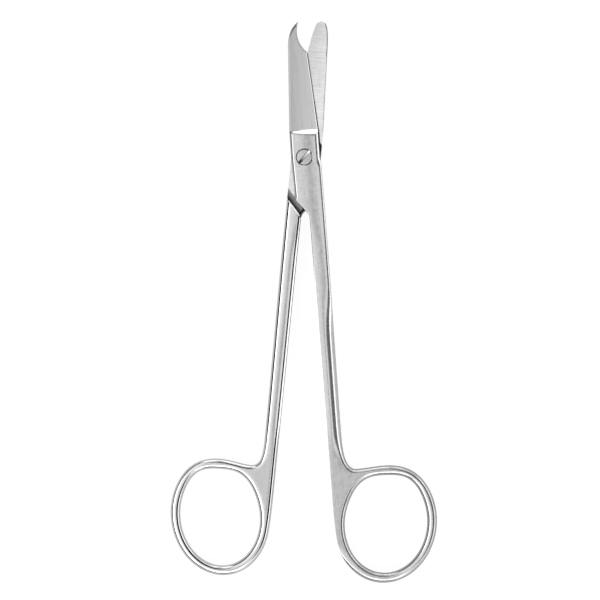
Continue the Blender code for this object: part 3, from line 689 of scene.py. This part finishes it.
    def zones(self):
        """The numbers of the steels on the faces, in the mesh's order."""
        middles = self.middles
        x, y = middles[:, 0], middles[:, 1]
        top = np.where(y > SHOULDER_UP, FINE_GROUND, BODY)
        top[(y <= SHOULDER_UP) & (self.shoulder(x, y) < PLATE_THICK)] = BEVEL
        if self.head:
            right, high = SHOULDER_FOOT
            foot = (SHOULDER_UP - y < high - SHOULDER_DULL * (x - right)) & (x < right)
            top[(top == BEVEL) & (foot | (x < SHOULDER_END_X))] = SHOULDER_END
        for line, width, kind in ((self.back, BACK_CHAMFER, BACK_BEVEL),
                                  (self.edge, EDGE_BEVEL_WIDTH, EDGE_BEVEL),
                                  (self.notch, NOTCH_BEVEL_WIDTH, BACK_BEVEL)):
            if line is not None:
                distance, _ = nearest(middles, line)
                top[(distance < width - BEVEL_CRISP) & (y > SHOULDER_UP - 0.5)] = kind
        if self.head:
            inside = left_of(self.side, middles)
            # painted shadow: the plate's right side bevel is painted black beside the gap
            top[(inside < SIDE_BEVEL_WIDTH) & (np.abs(y - 3.0) < 4.0) & (x > 0.0)] = GAP_SHADOW
            # painted shade: the counterbore around the head is painted darker
            top[np.hypot(x, y) < HEAD_RADIUS + SCREW_CLEARANCE + 0.01] = COUNTERBORE
        ahead = left_of(self.lap, middles)
        bottom = np.where(ahead > 0.0, MATING, BODY)
        bottom[(ahead > -0.004) & (ahead < LAP_FILLET) & (y < 0.0)] = FILLET
        bottom[(ahead <= -0.004) & (ahead > -WALL_CHAMFER) & (y < -WALL_TOP_DROP)] = BEVEL
        if self.notch is None:
            # painted shadow of the gap on the blunt half's mating face
            shaded = (y > GAP_SHADE[0][1]) & (y < np.interp(-x, *zip(*GAP_SHADE)))
            bottom[shaded & (x < GAP_SHADE_SIDE[0] * y + GAP_SHADE_SIDE[1])] = GAP_SHADOW
        walls = np.where(self.wall_middles[:, 1] > SHOULDER_UP, BACK_BEVEL, BODY)
        return np.concatenate([top, bottom, walls]).astype(np.int32)


def sharpen(mesh, sharp):
    """Shades the mesh smooth, but for its steep edges and the pairs of corners in the set."""
    mesh.shade_smooth()
    mesh.set_sharp_from_angle(angle=math.radians(SMOOTH_ANGLE))
    pairs = np.empty(len(mesh.edges) * 2, np.int32)
    mesh.edges.foreach_get("vertices", pairs)
    values = np.empty(len(mesh.edges), bool)
    mesh.attributes["sharp_edge"].data.foreach_get("value", values)
    for index, (a, b) in enumerate(np.sort(pairs.reshape(-1, 2), 1)):
        if (a, b) in sharp:
            values[index] = True
    mesh.attributes["sharp_edge"].data.foreach_set("value", values)


# Materials

def feed(made, inputs):
    """Sets a node's inputs, and links those whose value is another node's output."""
    for key, value in inputs.items():
        if isinstance(value, bpy.types.NodeSocket):
            made.id_data.links.new(value, made.inputs[key])
        else:
            made.inputs[key].default_value = value


def adjust(made, **settings):
    for key, value in settings.items():
        setattr(made, key, value)
    return made


def node(tree, kind, inputs, **settings):
    made = adjust(tree.nodes.new(kind), **settings)
    feed(made, inputs)
    return made


def maths(tree, operation, *values, clamp=False):
    """The output of a math node with these values or links as its inputs."""
    return node(tree, "ShaderNodeMath", dict(enumerate(values)), operation=operation,
                use_clamp=clamp).outputs[0]


def noise(tree, where, periods, detail, rough, offset):
    """Noise with the given period along each axis, in millimetres."""
    place = node(tree, "ShaderNodeMapping", {
        "Scale": tuple(1000.0 / p for p in periods),
        "Location": (offset, offset * 0.7, offset * 1.3), "Vector": where})
    return node(tree, "ShaderNodeTexNoise", {
        "Scale": 1.0, "Detail": detail, "Roughness": rough,
        "Vector": place.outputs["Vector"]}, noise_dimensions="3D").outputs["Fac"]


def swing(tree, value, amount):
    """Noise made to swing about zero."""
    return maths(tree, "MULTIPLY", maths(tree, "SUBTRACT", value, 0.5), amount)


def dimmed(tree, level, value, places, levels, way="SMOOTHSTEP"):
    """The level times what goes from one of two levels to the other between two values."""
    share = node(tree, "ShaderNodeMapRange", {
        "Value": value, "From Min": places[0], "From Max": places[1],
        "To Min": levels[0], "To Max": levels[1]}, interpolation_type=way)
    return maths(tree, "MULTIPLY", level, share.outputs["Result"])


def new_material(name):
    return adjust(bpy.data.materials.new(name), use_nodes=True)


CLOUD = (1.1, 1.4, 1.1)  # periods of the mottling and of the wide drift
WIDE = (3.0, 24.0, 5.0)
DRIFT = 0.25
# where the painted side shade is darkest, and where it ends
STEEP = (0.45, 0.93)  # a normal's height where a side is darkest, and where it is clear
BUMP_HEIGHT = 0.0000015  # metres


def steel(name, turn, colour, roughness, grain, grain_amount, mottle, side_shade=0.0,
          marks=None, wall_shade=None, along_level=None, metallic=1.0):
    """Ground stainless steel: grain along one direction, mottling, sides painted darker as shade,
    grinding marks.

    marks (periods and amount) crosses the grain; wall_shade darkens the steel towards the lap's wall,
    a painted shade of the recess; along_level (two places in millimetres along the blade and the level
    at each) goes from one level to the other; a metallic below 1 softens what it mirrors.
    """
    made = new_material(name)
    tree = made.node_tree
    where = node(tree, "ShaderNodeMapping", {
        "Rotation": (0.0, 0.0, math.radians(-turn)),
        "Vector": node(tree, "ShaderNodeTexCoord", {}).outputs["Object"]}).outputs["Vector"]
    lines = noise(tree, where, grain, 4.0, 0.65, 3.1)
    spread = swing(tree, lines, grain_amount)
    patch = swing(tree, noise(tree, where, CLOUD, 4.0, 0.65, 7.7), mottle)
    drift = swing(tree, noise(tree, where, WIDE, 2.0, 0.5, 1.9), DRIFT)
    level = maths(tree, "ADD", maths(tree, "ADD", spread, patch), drift)
    height = lines
    if marks:
        periods, amount = marks
        cross = noise(tree, where, periods, 4.0, 0.65, 11.3)
        level = maths(tree, "ADD", level, swing(tree, cross, amount))
        height = maths(tree, "ADD", lines, maths(tree, "MULTIPLY", cross, 2.0))
    level = maths(tree, "ADD", level, 1.0)
    # painted shade: steep sides are darkened
    if side_shade:
        normal = node(tree, "ShaderNodeNewGeometry", {}).outputs["Normal"]
        up = node(tree, "ShaderNodeSeparateXYZ", {0: normal}).outputs["Z"]
        level = dimmed(tree, level, maths(tree, "ABSOLUTE", up), STEEP, (1.0 - side_shade, 1.0))
    if wall_shade:
        # painted shade of the recess: the steel darkens towards the lap's wall
        ahead = node(tree, "ShaderNodeAttribute", {}, attribute_name="lap_ahead").outputs["Fac"]
        level = dimmed(tree, level, ahead, (0.1, LAP_FILLET), (wall_shade, 1.0))
    # the level changes along the blade: brighter at the root, darker towards the tip
    if along_level:
        along = node(tree, "ShaderNodeSeparateXYZ", {0: where}).outputs["Y"]
        places = [place * MM for place in along_level[:2]]
        level = dimmed(tree, level, along, places, along_level[2:], "LINEAR")
    tint = node(tree, "ShaderNodeVectorMath", {0: colour, "Scale": level}, operation="SCALE")
    rough = maths(tree, "ADD", maths(tree, "MULTIPLY", patch, 0.4), roughness)
    rough = maths(tree, "ADD", rough, maths(tree, "MULTIPLY", spread, 0.2), clamp=True)
    bump = node(tree, "ShaderNodeBump", {"Strength": 1.0, "Distance": BUMP_HEIGHT, "Height": height})
    feed(tree.nodes["Principled BSDF"], {
        "Metallic": metallic, "Base Color": tint.outputs["Vector"], "Roughness": rough,
        "Normal": bump.outputs["Normal"]})
    return made


def link(made):
    """Puts an object into the scene."""
    bpy.context.scene.collection.objects.link(made)
    return made


def new_object(name, corners, faces):
    mesh = bpy.data.meshes.new(name)
    mesh.from_pydata(corners, [], faces)
    return link(bpy.data.objects.new(name, mesh))


def dress(piece, zones, materials):
    """Gives the piece its materials, and each face the number of its own."""
    piece.data.materials.clear()
    for material in materials:
        piece.data.materials.append(material)
    piece.data.polygons.foreach_set("material_index", zones)
    piece.data.update()


def keep_inside(mesh):
    """The ovals bulge a hair past the CAD's straight pieces; this holds them to the CAD's box."""
    corners = np.empty(len(mesh.vertices) * 3, np.float32)
    mesh.vertices.foreach_get("co", corners)
    corners = np.clip(corners.reshape(-1, 3), np.float32(CAD_LOW), np.float32(CAD_HIGH))
    mesh.vertices.foreach_set("co", corners.ravel())
    mesh.update()


# The two halves

HOOK_RING = ((12.72, -92.91), 14.87, 12.67, 14.3)
HOOK_HOLE = ((12.72, -92.73), 14.87 - RING_WALL, 12.67 - RING_WALL, 9.7)
HOOK_WEB = (6.5, -78.72)
BLUNT_RING = ((12.5, -91.43), 14.77, 12.28, 16.3)
BLUNT_HOLE = ((12.5, -91.34), 14.77 - RING_WALL, 12.28 - RING_WALL, 13.3)
BLUNT_WEB = (6.1, -77.88)
HOOK_SHIFT = 0.42
BLUNT_SHIFT = -0.47
HOOK_TIP = (0.81, 34.01)
HOOK_EDGE_END = (2.58, 26.0)
BLUNT_TIP = (-0.46, 34.3)
BLUNT_EDGE_END = (2.2, 26.66)
TIP_STEPS = 12  # of the blunt blade's front belong to its round tip

hook_back = bend((-2.32, 27.56), lean_aim(3.6), 3.6, HOOK_TIP, lean_aim(53.0), 2.2, 40)
hook_notch = arc_between(HOOK_TIP, HOOK_EDGE_END, 6.9, 40)
hook = Half("hook_blade", HOOK_SHIFT, hook_back, hook_notch, [HOOK_EDGE_END], HOOK_RING, HOOK_HOLE,
            HOOK_WEB, satin_rim, NECK_RADIUS + SCREW_CLEARANCE, True)
blunt_back = bend((-2.66, 27.0), lean_aim(3.0), 5.4, BLUNT_TIP, (1.0, 0.0), 1.6, 40)
blunt_front = bend(BLUNT_TIP, (1.0, 0.0), 1.3, BLUNT_EDGE_END, lean_aim(180.0 - 9.2), 6.0, 48)
blunt = Half("blunt_blade", BLUNT_SHIFT, blunt_back + blunt_front[1:TIP_STEPS + 1], None,
             blunt_front[TIP_STEPS:], BLUNT_RING, BLUNT_HOLE, BLUNT_WEB, bright_rim,
             THREAD_RADIUS + SCREW_CLEARANCE, False)

# Grain along the blade, and across the screw's slot: periods in millimetres
ALONG = (0.22, 9.0, 0.4)
TURNED = (2.5, 0.25, 0.5)
SATIN = (0.66, 0.66, 0.665)
BRIGHT = (0.72, 0.72, 0.725)
PALE = (0.84, 0.84, 0.845)
SCREW = (0.64, 0.64, 0.645)
# grey of the lap fillet, painted dark as shade of the recess
FILLET_SHADE_GREY = (0.34, 0.34, 0.345)
DULL = (0.3, 0.3, 0.305)
# a darker grey: the counterbore's painted shade and the shoulder's darker end
DIM_GREY = (0.22, 0.22, 0.225)
# dark of the painted shade along the cutting edge and in the screw's slot
SHADE_DARK = (0.1, 0.1, 0.1)
# the black of the painted gap shadow
SHADOW_BLACK = (0.03, 0.03, 0.03)


def half_steels(turn, satin_body):
    """The steels by number, from BODY to SHOULDER_END."""
    key = "hook" if satin_body else "blunt"
    if satin_body:
        body = steel(key + "_satin", turn, SATIN, 0.16, ALONG, 0.4, 0.3, side_shade=0.6,
                     marks=((0.8, 0.5, 0.8), 0.3), metallic=0.79)
    else:
        body = steel(key + "_bright", turn, BRIGHT, 0.13, ALONG, 0.26, 0.16, side_shade=0.42)
    return [
        body,
        steel(key + "_fine_ground", turn, BRIGHT, 0.2, (0.3, 14.0, 0.5), 0.6, 0.2),
        steel(key + "_bevel", turn, BRIGHT, 0.18, ALONG, 0.16, 0.1),
        steel(key + "_cross_ground", turn, PALE, 0.22, ALONG, 0.1, 0.2,
              marks=((6.0, 0.3, 2.0), 0.62), along_level=(8.0, 33.0, 1.13, 0.92)),
        steel(key + "_lap_fillet_painted_shade", turn - 37.0, FILLET_SHADE_GREY, 0.22, (7.0, 0.22, 0.22), 3.0, 0.2,
              wall_shade=0.06),
        # painted shade: the cutting bevel is painted dark along the edge
        steel(key + "_painted_shade_edge", turn, SHADE_DARK, 0.3, ALONG, 0.4, 0.3),
        steel(key + "_back_bevel", turn, DULL, 0.3, ALONG, 0.3, 0.2),
        steel(key + "_counterbore_painted_shade", turn, DIM_GREY, 0.3, ALONG, 0.4, 0.3),
        steel(key + "_painted_gap_shadow", turn, SHADOW_BLACK, 0.35, ALONG, 0.4, 0.3),
        steel(key + "_shoulder_end", turn, DIM_GREY, 0.3, ALONG, 0.4, 0.3)]


RAISE = Matrix.Translation((0.0, 0.0, PLATE_THICK * MM))
HOOK_TURN = 4.55
BLUNT_TURN = -5.69
for half, body, node_name, slot_name, place, steels in (
        (hook, "hook_half", "hook_blade_half", "satin_steel",
         RAISE @ Matrix.Rotation(math.radians(HOOK_TURN), 4, "Z"), half_steels(HOOK_TURN, True)),
        (blunt, "blunt_half", "blunt_blade_half", "bright_steel",
         RAISE @ Matrix.Rotation(math.radians(BLUNT_TURN), 4, "Z") @ Matrix.Rotation(math.pi, 4, "Y"),
         half_steels(BLUNT_TURN, False))):
    piece = link(bpy.data.objects.new(half.name, half.mesh()))
    piece.data.transform(place)
    keep_inside(piece.data)
    dress(piece, half.zones(), steels)
    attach(piece, body)
    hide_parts(node_name)


# The screw

SCREW_TOP = 2.0 * PLATE_THICK - HEAD_SINK
HEAD_DOME = 0.06
HEAD_ROUND = 0.2  # the head's rounded edge
THREAD_TURNS = 5
THREAD_TOP = PLATE_THICK - 0.06
THREAD_REACH = PLATE_THICK - 0.26
THREAD_DEPTHS = (0.11, 0.05, 0.0, 0.05)
SLOT_CHAMFER = 0.12  # depth of the slot's chamfer
TURN_STEPS = 96


def slot_prism():
    """What the driver slot is cut with: its chamfered section, with a floor that curves up."""
    half = SLOT_WIDTH / 2.0
    corners = []
    for along in np.linspace(-1.2 * HEAD_RADIUS, 1.2 * HEAD_RADIUS, 17):
        floor = SLOT_SAG * (along / HEAD_RADIUS) ** 2 - SLOT_DEEP
        right = ((half + 0.24, SLOT_CHAMFER), (half + 0.1, 0.0), (half, -SLOT_CHAMFER), (half, floor))
        for across, z in right + tuple((-x, z) for x, z in reversed(right)):
            corners.append((along * MM, across * MM, (SCREW_TOP + z) * MM))
    count = 2 * len(right)
    last = len(corners) - count
    faces = [tuple(range(count)), tuple(range(last + count - 1, last - 1, -1))]
    for row in range(0, last, count):
        faces += [(row + (k + 1) % count, row + k, row + count + k, row + count + (k + 1) % count)
                  for k in range(count)]
    made = new_object("slot", corners, faces)
    made.rotation_euler = (0.0, 0.0, math.radians(SLOT_ANGLE))
    return made


def turned_screw():
    """The turned screw as one closed surface, with its driver slot cut through the head."""
    seat = 2.0 * PLATE_THICK - HEAD_DEEP
    profile = [(r, SCREW_TOP - HEAD_DOME * (r / HEAD_RADIUS) ** 2)
               for r in np.linspace(0.0, HEAD_RADIUS - HEAD_ROUND, 9)]
    rim = profile[-1][1]
    profile += [(HEAD_RADIUS - 0.02, rim - 0.15), (HEAD_RADIUS, rim - HEAD_ROUND),
                (HEAD_RADIUS, seat), (NECK_RADIUS, seat),
                (NECK_RADIUS, PLATE_THICK + 0.02), (THREAD_RADIUS, THREAD_TOP)]
    count = THREAD_TURNS * len(THREAD_DEPTHS)
    for k in range(count):
        depth = THREAD_DEPTHS[k % len(THREAD_DEPTHS)]
        profile.append((THREAD_RADIUS - depth, THREAD_TOP - THREAD_REACH * (k + 0.5) / count))
    profile += [(THREAD_RADIUS, 0.1), (THREAD_RADIUS - 0.1, 0.02), (0.6, 0.0), (0.0, 0.0)]
    mesh = bpy.data.meshes.new("screw")
    corners = [(x * MM, 0.0, z * MM) for x, z in profile]
    mesh.from_pydata(corners, [(i, i + 1) for i in range(len(corners) - 1)], [])
    made = link(bpy.data.objects.new("slotted_screw", mesh))
    adjust(made.modifiers.new("turned", "SCREW"), axis="Z", steps=TURN_STEPS,
           render_steps=TURN_STEPS, use_merge_vertices=True, merge_threshold=0.000001,
           use_normal_calculate=True)
    slot = slot_prism()
    adjust(made.modifiers.new("slot", "BOOLEAN"), operation="DIFFERENCE", solver="EXACT", object=slot)
    bpy.context.view_layer.update()
    mesh = bpy.data.meshes.new_from_object(made.evaluated_get(bpy.context.evaluated_depsgraph_get()))
    made.modifiers.clear()
    made.data = mesh
    bpy.data.objects.remove(slot, do_unlink=True)
    mesh.shade_smooth()
    mesh.set_sharp_from_angle(angle=math.radians(30.0))
    return made


def in_shaded_slot(face):
    """Whether a face of the screw is painted dark as shade: one of the slot's walls, or in its lower
    left end.
    """
    place = Matrix.Rotation(math.radians(-SLOT_ANGLE), 3, "Z") @ face.center
    across = abs(place.y) / MM
    high = face.center.z + 0.00001 > (SCREW_TOP - SLOT_DEEP) * MM
    inside = math.hypot(place.x, place.y) < (HEAD_RADIUS - 0.01) * MM
    wall = SLOT_WIDTH / 2.0 - 0.01 < across < SLOT_WIDTH / 2.0 + 0.11
    left_end = place.x / MM < -0.62 * HEAD_RADIUS and across < SLOT_WIDTH / 2.0 + 0.01
    return high and (left_end or (wall and inside and face.normal.z < 0.9))


screw = turned_screw()
# painted shade on the slot's walls and at its lower left end
dress(screw, [int(in_shaded_slot(face)) for face in screw.data.polygons],
      [steel("screw_face", SLOT_ANGLE, SCREW, 0.26, TURNED, 0.3, 0.4),
       steel("screw_slot_painted_shade", SLOT_ANGLE, SHADE_DARK, 0.35, TURNED, 0.4, 0.4)])
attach(screw, "blunt_half")
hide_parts("pivot_screw")


# Studio, in metres and degrees

DOME = 3.0
CENTRE = Vector((0.0, -0.036, 0.002))
FLOOR_RADIUS = 8.0
FLOOR_LOW = 0.0002
FLOOR_SHOWN = 0.85  # how much of the floor that is seen glows, so that it is white
FLOOR_LEVEL = 1.08
CARD_COLUMNS = 24
CARD_ROWS = 4


def floor_material():
    """White where it is seen, also in metal, and matte under the object's shadow."""
    made = new_material("pale_floor")
    tree = made.node_tree
    tree.nodes.clear()
    path = node(tree, "ShaderNodeLightPath", {}).outputs
    seen = maths(tree, "MAXIMUM", path["Is Camera Ray"], path["Is Glossy Ray"])
    seen = maths(tree, "MAXIMUM", seen, path["Is Transmission Ray"])
    matte = node(tree, "ShaderNodeBsdfDiffuse", {"Color": (0.95, 0.95, 0.95, 1.0)})
    white = node(tree, "ShaderNodeEmission", {"Color": (1.0, 1.0, 1.0, 1.0), "Strength": FLOOR_LEVEL})
    mix = node(tree, "ShaderNodeMixShader", {
        0: maths(tree, "MULTIPLY", seen, FLOOR_SHOWN), 1: matte.outputs[0], 2: white.outputs[0]})
    node(tree, "ShaderNodeOutputMaterial", {"Surface": mix.outputs[0]})
    return made


def floor():
    """The pale floor: a staged round disc."""
    count = 48
    turns = [2.0 * math.pi * k / count for k in range(count)]
    corners = [(FLOOR_RADIUS * math.cos(t), FLOOR_RADIUS * math.sin(t), 0.0) for t in turns]
    made = new_object("floor", corners, [range(count)])
    made.data.materials.append(floor_material())
    made.matrix_world = Matrix.Translation((0.0, CENTRE.y, -FLOOR_LOW))


def dome_aim(azimuth, from_zenith):
    """A direction from the object: azimuth turns from +X to +Y, the other angle from straight up."""
    a = math.radians(azimuth)
    f = math.radians(from_zenith)
    return Vector((math.sin(f) * math.cos(a), math.sin(f) * math.sin(a), math.cos(f)))


def dark_card(name, material, azimuths, inner, outer):
    """A curved black card on the dome, which metal shows as a dark line.

    It runs between two azimuths; inner and outer are its angles from straight up at even
    steps along the way.
    """
    side = CARD_ROWS + 1
    even = np.linspace(0.0, 1.0, len(inner))
    corners = []
    for share in np.linspace(0.0, 1.0, CARD_COLUMNS + 1):
        azimuth = azimuths[0] + (azimuths[1] - azimuths[0]) * share
        near, far = (float(np.interp(share, even, angles)) for angles in (inner, outer))
        corners += [CENTRE + dome_aim(azimuth, near + (far - near) * row / CARD_ROWS) * DOME
                    for row in range(side)]
    faces = [(side * k + r, side * k + r + 1, side * (k + 1) + r + 1, side * (k + 1) + r)
             for k in range(CARD_COLUMNS) for r in range(CARD_ROWS)]
    made = new_object(name, corners, faces)
    made.data.materials.append(material)
    made.visible_camera = False


def soft_light(name, azimuth, from_zenith, width, height, level):
    """A soft panel behind the dome. Its level is how bright metal shows it, where 1 is white."""
    sides = [2.0 * DOME * math.tan(math.radians(angle / 2.0)) for angle in (width, height)]
    data = adjust(bpy.data.lights.new(name, "AREA"), shape="RECTANGLE", size=sides[0], size_y=sides[1])
    data.energy = level * math.pi * data.size * data.size_y
    made = link(bpy.data.objects.new(name, data))
    aim = dome_aim(azimuth, from_zenith)
    turn = (-aim).to_track_quat("-Z", "Y").to_matrix().to_4x4()
    made.matrix_world = Matrix.Translation(CENTRE + aim * (DOME + 0.1)) @ turn
    made.visible_camera = False


black = new_material("black_card")
feed(black.node_tree.nodes["Principled BSDF"], {
    "Base Color": (0.012, 0.012, 0.012, 1.0), "Roughness": 0.9, "Specular IOR Level": 0.1})
floor()
dark_card("card_gap", black, (-50.0, 112.0), (26.0, 18.0, 18.0, 13.0, 18.0, 24.0),
          (32.0, 48.0, 51.0, 46.0, 33.0, 28.0))
dark_card("card_left", black, (150.0, 285.0), (53.0, 56.0, 55.0, 60.0, 70.0), (90.0,) * 5)
dark_card("card_upper_left", black, (110.0, 150.0), (60.0, 51.0, 53.0), (90.0,) * 3)
soft_light("panel_left", 195.0, 38.0, 56.0, 22.0, 1.6)
soft_light("panel_right", 10.0, 64.0, 60.0, 22.0, 1.25)
soft_light("panel_low", 272.0, 42.0, 36.0, 22.0, 1.5)
soft_light("panel_top", 90.0, 84.0, 34.0, 16.0, 2.2)

# The studio's walls: metal shows a soft step in them straight above, lighter towards the left
SKY = ((-0.64, 1.15), (-0.28, 1.15), (-0.17, 1.08), (-0.09, 1.03), (-0.05, 0.97), (0.0, 0.79),
       (0.05, 0.42), (0.085, 0.47), (0.125, 1.08), (0.2, 1.1), (0.68, 1.0))
SKY_TOP = 1.2
SKY_SCALE = 0.7  # from a direction's x to a place on the ramp
ROOM_LEVEL = 0.7  # what lights the object; the camera sees 1
world = bpy.data.worlds.new("studio")
bpy.context.scene.world = world
world.use_nodes = True
tree = world.node_tree
wall = node(tree, "ShaderNodeTexCoord", {}).outputs["Generated"]
aside = node(tree, "ShaderNodeSeparateXYZ", {0: wall}).outputs["X"]
ramp = node(tree, "ShaderNodeValToRGB", {
    "Fac": maths(tree, "MULTIPLY_ADD", aside, SKY_SCALE, 0.5)})
for place, level in SKY[1:-1]:
    ramp.color_ramp.elements.new(place * SKY_SCALE + 0.5)
for element, (place, level) in zip(ramp.color_ramp.elements, SKY):
    element.position = place * SKY_SCALE + 0.5
    element.color = (level / SKY_TOP,) * 3 + (1.0,)
sky = maths(tree, "MULTIPLY_ADD", ramp.outputs["Color"], SKY_TOP, -ROOM_LEVEL)
path = node(tree, "ShaderNodeLightPath", {}).outputs
plain = maths(tree, "MAXIMUM", path["Is Camera Ray"], path["Is Transmission Ray"])
plain = maths(tree, "MULTIPLY", plain, 1.0 - ROOM_LEVEL)
shown = maths(tree, "MULTIPLY_ADD", path["Is Glossy Ray"], sky, plain)
feed(tree.nodes["Background"], {
    "Color": (1.0, 1.0, 1.0, 1.0), "Strength": maths(tree, "ADD", shown, ROOM_LEVEL)})

FRAME_WIDTH = 0.150
FRAME_MIDDLE = (-0.00105, -0.035675)
FRAME_UP = 0.003  # height at which the frame has that width
scene = bpy.context.scene
scene.view_settings.view_transform = "Standard"
camera = adjust(bpy.data.cameras.new("camera"), lens=300.0, sensor_width=36.0,
                clip_start=0.01, clip_end=20.0)
reach = FRAME_WIDTH / 2.0 / (camera.sensor_width / 2.0 / camera.lens)
viewer = link(bpy.data.objects.new("camera", camera))
viewer.location = (*FRAME_MIDDLE, reach + FRAME_UP)
scene.camera = viewer
